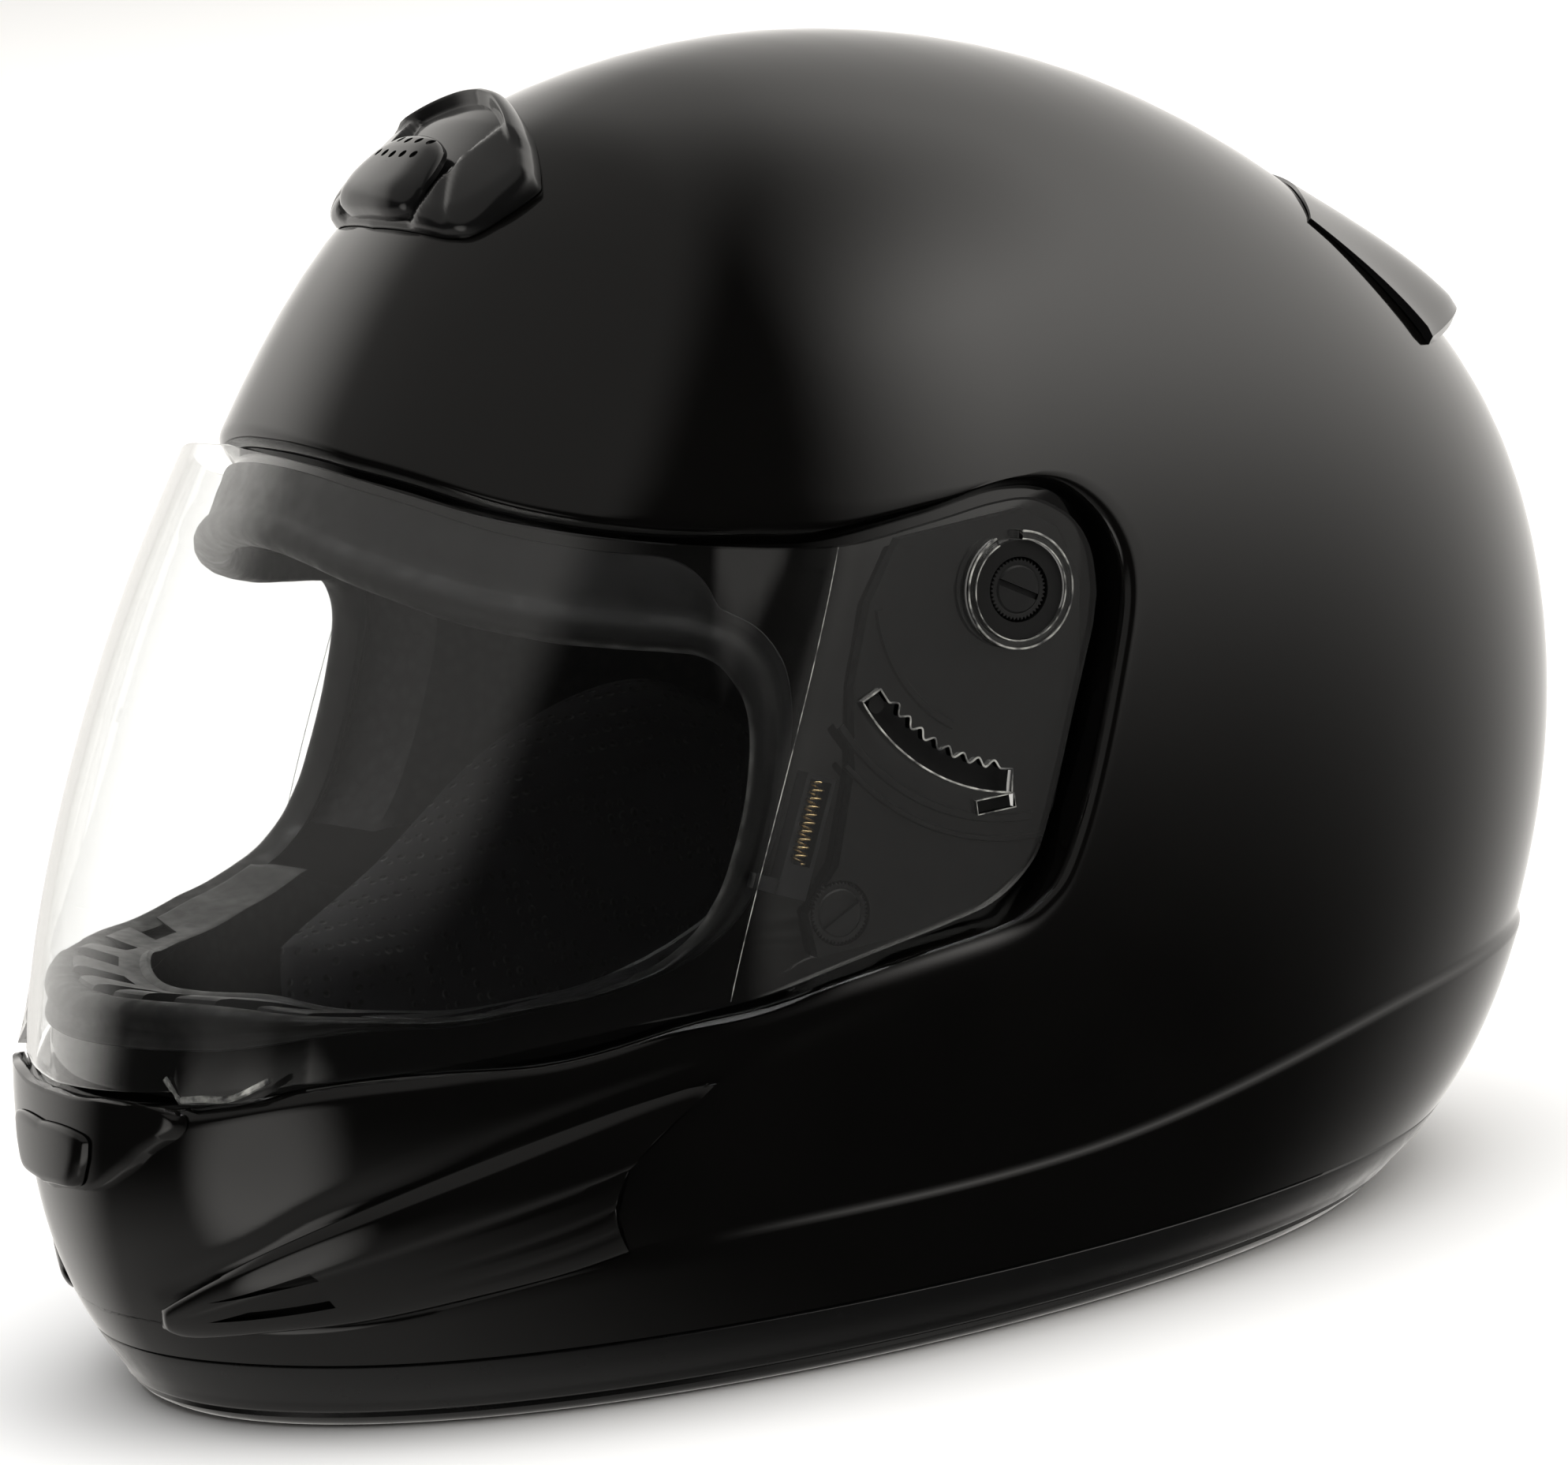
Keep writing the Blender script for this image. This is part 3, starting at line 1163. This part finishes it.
def vent_hood():
    def height(q, share):
        t, f = np.abs(q[..., 0]), -q[..., 1]
        wide = 13.9 + np.clip(50 - f, 0, 10) * 0.2
        cheek = ease((t - wide + 1) / 2)
        crown = HOOD_TOP + 0.8 * ease((50 - f) / 8) - 0.6 * ease((f - 54) / 8)
        ramp = mix(4.2, FLOOR_TOP, ease((f - 42) / 8))
        body = mix(ramp, crown, cheek)
        crease = 0.4 * np.exp(-((t - 13 - 0.85 * (f - 51.5)) / 1.3) ** 2) * ease((f - 50) / 3)
        hoop = HOOP_TOP * ease((share - 0.72) / 0.12) * ease((48.5 - f) / 5)
        top = np.maximum(body - crease * cheek, hoop)
        return 0.35 + (top - 0.35) * rounded(share, mix(0.84, 0.78, ease((f - 55) / 6)))

    outline = mirrored_loop(half_outline(TOP_VENT, 65))
    hood = cover("top_vent_hood", outline, front(0, 49), height, 0.15, rings=44)
    dress(hood, vent_black, "top_vent_cover")


def pin(q, direction, r, depth):
    """A round cutter that goes down by half its depth into the surface at q."""
    d = Vector(direction).normalized()
    a = d.orthogonal().normalized()
    b = d.cross(a)
    turns = [2 * math.pi * k / 16 for k in range(16)]
    return prism(*([(Vector(q) + a * (r * math.cos(w)) + b * (r * math.sin(w)) + d * h) * MM for w in turns]
                   for h in (-depth / 2, depth * 2)))


def vent_slider():
    middle = front(0, SLIDER_MIDDLE)
    edge = spline(front(*np.array(SLIDER_EDGE, float).T), np.linspace(0, len(SLIDER_EDGE) - 1, 50))
    rim = mirrored_loop(edge)

    def height(q, share):
        low = mix(5.4, 2.6, ease((-q[..., 1] - 57) / 7))
        return low + (7.3 - low) * rounded(share, 0.45)

    upper, lower = [], []
    for share in np.linspace(0.04, 1, 24):
        p = mix(middle, rim, share)
        top = height(p * DISC_MM, share)
        upper.append(on_shell(p, top))
        lower.append(on_shell(p, top - 1.2))
    slider = solid("top_vent_slider_cap", np.stack(upper, 1), np.stack(lower, 1), closed=True, sharp=40,
                   body="top_slider")
    plug = cover("top_vent_slider_middle", mix(middle, rim, 0.06), middle,
                 lambda q, share: height(q, 0.05 * share), 5.9, rings=2, body="top_slider")
    dimples = []
    for f in (50.8, 54.2):
        for t in (-6.4, -3.2, 0, 3.2, 6.4):
            p = front(t, f - 0.25 * abs(t) / 3.2)
            share = min(np.hypot(t / 13, (f - SLIDER_MIDDLE) / 7.5), 1)
            dimples.append(pin(on_shell(p, height(p * DISC_MM, share)), normal(p), 1.05, 1.3))
    cut(slider, dimples)
    dress(slider, vent_black, "top_vent_slider")
    dress(plug, vent_black)


vent_black = lacquer("vent lacquer", (0.004, 0.004, 0.004), 0.12)
vent_hood()
vent_slider()

# ---- Chin vent -----------------------------------------------------------------------
# A black lacquered panel on the front of the chin bar, with a hinged shutter whose lower
# lip stands out as a finger catch.
CHIN_PANEL = [(0, 70.2), (6, 70.2), (14, 70), (17.6, 69.8), (19.2, 68.6), (19.8, 66.5), (19, 64),
              (16, 60.3), (13.2, 56), (8, 51), (0, 49.2)]
SHUTTER = [(0, 63.5), (6, 63.4), (8.2, 62.2), (8.4, 60), (7.8, 56), (6, 51.8), (0, 51)]


def chin_vent():
    def panel_height(q, share):
        return 0.3 + 1.9 * rounded(share, 0.9)

    def flap_height(q, share):
        drop = ease((-q[..., 1] - 196) / 22)
        return 2.7 + (0.7 + 0.9 * drop) * rounded(share, 0.7)

    outline = mirrored_loop(half_outline(CHIN_PANEL, 71))
    panel = cover("chin_vent_panel", outline, spot(0, 61), panel_height, 0.05, rings=20)
    dress(panel, gloss_black, "chin_vent_frame")
    outline = mirrored_loop(half_outline(SHUTTER, 43))
    flap = cover("chin_vent_flap", outline, spot(0, 57), flap_height, 2.5, rings=20, body="chin_shutter")
    dress(flap, gloss_black, "chin_vent_shutter")


chin_vent()

# ---- Side scoops ---------------------------------------------------------------------
# A long lacquered blade on each side of the chin bar. It has two wedge-shaped slots at
# its nose and shallow flutes, and its crescent rear end stands off the shell.
SCOOP_HIGH = [(13.2, 26.5), (16, 29.3), (24.8, 38.2), (34.5, 47.2), (45, 56.3), (54.5, 63.2), (61.8, 67)]
SCOOP_LOW = [(12.2, 22.2), (16, 20.8), (26, 22.9), (35, 24.6), (44, 27.6), (51, 30.3), (56.2, 33.5)]
UPPER_SLOT = [(20.2, 30), (31.2, 37), (31.8, 35)]
LOWER_SLOT = [(19.5, 25.5), (31.8, 33.5), (32.8, 29)]


def wedge(side, outline):
    """A cutter for a wedge-shaped slot, from just above the shell outwards."""
    return prism(*([Vector(on_shell(spot(side * u, z), off)) * MM for u, z in outline] for off in (0.1, 9)))


def side_scoop(side, word):
    a, b = np.meshgrid(np.linspace(0, 1, 90), np.linspace(0, 1, 40), indexing="ij")
    t = a * (len(SCOOP_LOW) - 1)
    c = mix(spline(SCOOP_LOW, t), spline(SCOOP_HIGH, t), b[..., None])
    bow = np.sin(np.pi * b) * 3.6 * a ** 6
    p = spot(side * (c[..., 0] - bow), c[..., 1])
    nose, belly = np.sqrt(ease(a / 0.10)), np.clip(np.sin(np.pi * b), 0, 1) ** 0.55
    flutes = sum(0.45 * np.exp(-((b - centre - 0.06 * a) / 0.022) ** 2) * ease((a - 0.55) / 0.3)
                 for centre in (0.12, 0.27, 0.5))
    ridge = 0.7 * ease((b - 0.55) / 0.08) * (1 - ease((b - 0.9) / 0.1)) * ease((a - 0.15) / 0.2)
    high = 0.25 + nose * ((0.9 + 2.3 * a) * belly + ridge - flutes * belly)
    scoop = solid("side_scoop_" + word, on_shell(p, high), on_shell(p, -0.6))
    cut(scoop, [wedge(side, UPPER_SLOT), wedge(side, LOWER_SLOT)])
    dress(scoop, gloss_black, "side_vent_" + word)


for side, word in SIDES:
    side_scoop(side, word)

# ---- Rear vent -----------------------------------------------------------------------
# A lacquered hood across the back, flush with the shell at its upper edge. Its lower end
# is cut off square and open, with three fins inside.
REAR_HALF = 42
REAR_HIGH = [(0, 212), (30, 210), (42, 206)]
REAR_LOW, REAR_LIFT, REAR_WALL = 178, 6, 2.4


def rear_stand_off(k, f):
    """Height of the hood's outside over the shell, at angle k from the back and share f down it."""
    return 0.5 + REAR_LIFT * ease(f * 0.75 + 0.15) * mix(0.3, 1, ease((REAR_HALF - np.abs(k)) / 14))


def rear_spot(k, f):
    return spot(180 - k, mix(along(REAR_HIGH, np.abs(k)), REAR_LOW, f))


def rear_point(k, f, off):
    return on_shell(rear_spot(k, f), rear_stand_off(k, f) + off)


def rear_vent():
    k, f = np.meshgrid(np.linspace(-REAR_HALF, REAR_HALF, 85), np.linspace(0, 1, 30), indexing="ij")
    lip = 0.5 * ease((f - 0.93) / 0.07)
    outer = rear_point(k, f, -lip)
    outwards = rear_point(k, np.clip(f, 0, 0.985), 0) - rear_point(k, f, -1)
    inner = outer - outwards * np.minimum(REAR_WALL, rear_stand_off(k, f) - 0.15)[..., None]
    dress(solid("rear_vent_hood", outer, inner), vent_black, "rear_vent_cover")
    for number, middle in enumerate((-21, 0, 21)):
        top, rings = along(REAR_HIGH, abs(middle)), []
        for f in np.linspace(0.45, 0.93, 8):
            roof = [rear_point(middle + w, f, -REAR_WALL - 0.1) for w in (-0.5, 0.5)]
            foot = [on_shell(spot(180 - middle - w, mix(top, REAR_LOW, f)), 0.05) for w in (0.5, -0.5)]
            rings.append(roof + foot)
        dress(tube("rear_vent_fin_%d" % number, rings, sharp=30), vent_black)


rear_vent()

# ---- Chin strap ----------------------------------------------------------------------
# Black woven polyester webbing, stitched and riveted to the shell. The left strap folds
# back to its press stud; the right one holds two steel D-rings. Sleeves pad the neck.
STRAP_Y, WEB_W, WEB_T = 4, 23, 1.6
LONG_STRAP = [(100.2, 31), (97.6, 20), (91.5, 9), (83, 4.8), (72, 3.3), (60, 2.9), (48, 1.8), (10, 1.1),
              (-5, 1.3), (-8.6, 3.6), (-5, 5.9), (8, 5.4), (34, 5.2)]
SHORT_STRAP = [(100.2, 31), (97.6, 20), (91.5, 9), (83, 4.8), (72, 3.3), (60, 2.9), (44, 2.2)]
RING_BAR = (40, 2.9)
RING_PITCH, RING_LOOP = 4.8, 4.2
HALF_EDGE = [(-0.5, 0), (-0.49, 0.32), (-0.46, 0.46), (-0.3, 0.5), (0, 0.5), (0.3, 0.5), (0.46, 0.46),
             (0.49, 0.32)]
WEB_SECTION = HALF_EDGE + [(-y, -h) for y, h in HALF_EDGE]


def woven():
    """Webbing: ribs across the strap every 1.3 mm, with a finer twill between them."""
    material, tree, shader = finish_of("black webbing", (0.012, 0.012, 0.013), 0.75)
    place = tree.nodes.new("ShaderNodeTexCoord").outputs["Object"]
    waves = []
    for axis, step in (("X", 1.3), ("Y", 1.1)):
        wave = tree.nodes.new("ShaderNodeTexWave")
        wave.bands_direction = axis
        wave.inputs["Scale"].default_value = 0.314 / (step * MM)
        wave.inputs["Distortion"].default_value = 0.6
        tree.links.new(place, wave.inputs["Vector"])
        waves.append(wave.outputs["Fac"])
    weave = tree.nodes.new("ShaderNodeMath")
    weave.operation = "MULTIPLY"
    for socket, wave in zip(weave.inputs, waves):
        tree.links.new(wave, socket)
    rib = span(tree, weave.outputs[0], 0, 1, 0.1, 0.8)
    tint(tree, rib, (0.003, 0.003, 0.003), (0.018, 0.018, 0.020), shader)
    relief(tree, shader, weave.outputs[0], 0.25, 0.8)
    shader.inputs["Sheen Weight"].default_value = 0.2
    return material


webbing_black = woven()


def strap(name, route, side, wide, thick, steps, crown=0, start=0, end=None):
    """A flat strap along a route in the plane of X and Z, with rounded edges."""
    spans = np.linspace(start, len(route) - 1 if end is None else end, steps * (len(route) - 1))
    path = spline(route, spans)
    d = np.gradient(path, axis=0)
    d /= np.linalg.norm(d, axis=1, keepdims=True)
    up = np.stack([-d[:, 1], d[:, 0]], -1)
    rings = []
    for q, n, s in zip(path, up, np.linspace(0, 1, len(path))):
        end_taper = math.sqrt(max(0.06, 1 - (2 * s - 1) ** 12)) if crown else 1
        ring = []
        for y, h in WEB_SECTION:
            puff = (1 + crown * (1 - (2 * y) ** 2)) * end_taper
            off = h * thick * puff
            ring.append((side * (q[0] + n[0] * off), STRAP_Y + y * wide, q[1] + n[1] * off))
        rings.append(ring)
    return tube(name, rings)


def stitches(name, side, points, length=2.6, r=0.32):
    """A row of raised thread stitches from point to point, each a little capsule."""
    verts, faces = [], []
    for place, direction in points:
        d = Vector(direction).normalized()
        across = d.orthogonal().normalized()
        up = d.cross(across)
        base = len(verts)
        for s, w in ((-0.5, 0.3), (-0.35, 1), (0.35, 1), (0.5, 0.3)):
            for k in range(6):
                angle = math.pi * k / 3
                out = across * math.cos(angle) + up * math.sin(angle)
                q = Vector(place) + d * (s * length) + out * (r * w)
                verts.append((side * q.x * MM, q.y * MM, q.z * MM))
        for i in range(3):
            for k in range(6):
                a, b = base + 6 * i + k, base + 6 * i + (k + 1) % 6
                faces.append((a, b, b + 6, a + 6))
        faces += [tuple(base + k for k in range(6)), tuple(base + 18 + k for k in reversed(range(6)))]
    dress(piece(name, verts, faces, sharp=60), thread)


def twisted_thread():
    material, tree, shader = finish_of("black thread", (0.03, 0.03, 0.032), 0.6)
    relief(tree, shader, noise(tree, 0.3, 2), 0.08, 0.6)
    return material


thread = twisted_thread()


def neck_sleeve(side, word):
    """A padded sleeve round the strap beside the neck, with a stitched seam along each edge."""
    sleeve = strap("neck_sleeve_" + word, LONG_STRAP, side, WEB_W + 8, WEB_T + 2.6, 6, crown=0.12,
                   start=3.05, end=4.95)
    dress(sleeve, mesh_knit, "strap_sleeve_" + word)
    row = []
    for y in (-13.2, 13.2):
        for s in np.linspace(3.2, 4.8, 8):
            q = spline(LONG_STRAP, s)
            d = spline(LONG_STRAP, s + 0.02) - q
            n = np.array([-d[1], d[0]]) / np.linalg.norm(d)
            row.append(((q[0] + n[0] * 2.15, STRAP_Y + y, q[1] + n[1] * 2.15), (d[0], 0, d[1])))
    stitches("neck_sleeve_stitches_" + word, side, row, length=2.0, r=0.28)


def chin_straps():
    long_half = strap("chin_strap_long", LONG_STRAP, 1, WEB_W, WEB_T, 12)
    dress(long_half, webbing_black, "chin_strap_left")
    short_half = strap("chin_strap_short", SHORT_STRAP, -1, WEB_W, WEB_T, 12)
    dress(short_half, webbing_black)
    x, z = RING_BAR[0], RING_BAR[1] + RING_PITCH / 2
    turns = [math.radians(-100 + 380 * k / 56) for k in range(57)]
    loop = [(x + RING_LOOP * math.cos(a), z + RING_LOOP * math.sin(a)) for a in turns]
    fold = strap("chin_strap_ring_loop", loop, -1, WEB_W, WEB_T * 0.98, 2)
    dress(fold, webbing_black, "chin_strap_right")
    top = LONG_STRAP[-1][1] + 0.1 + WEB_T / 2 + 0.05
    row = [((x, STRAP_Y + y, top), (1, 0, 0)) for y in (-8, 8) for x in np.arange(9, 33, 3.4)]
    stitches("strap_end_stitches", 1, row)


chin_straps()
for side, word in SIDES:
    neck_sleeve(side, word)
for fitting in ("d_ring_lower", "d_ring_upper", "strap_rivets", "strap_anchor_plates", "strap_snap"):
    give(fitting, steel)
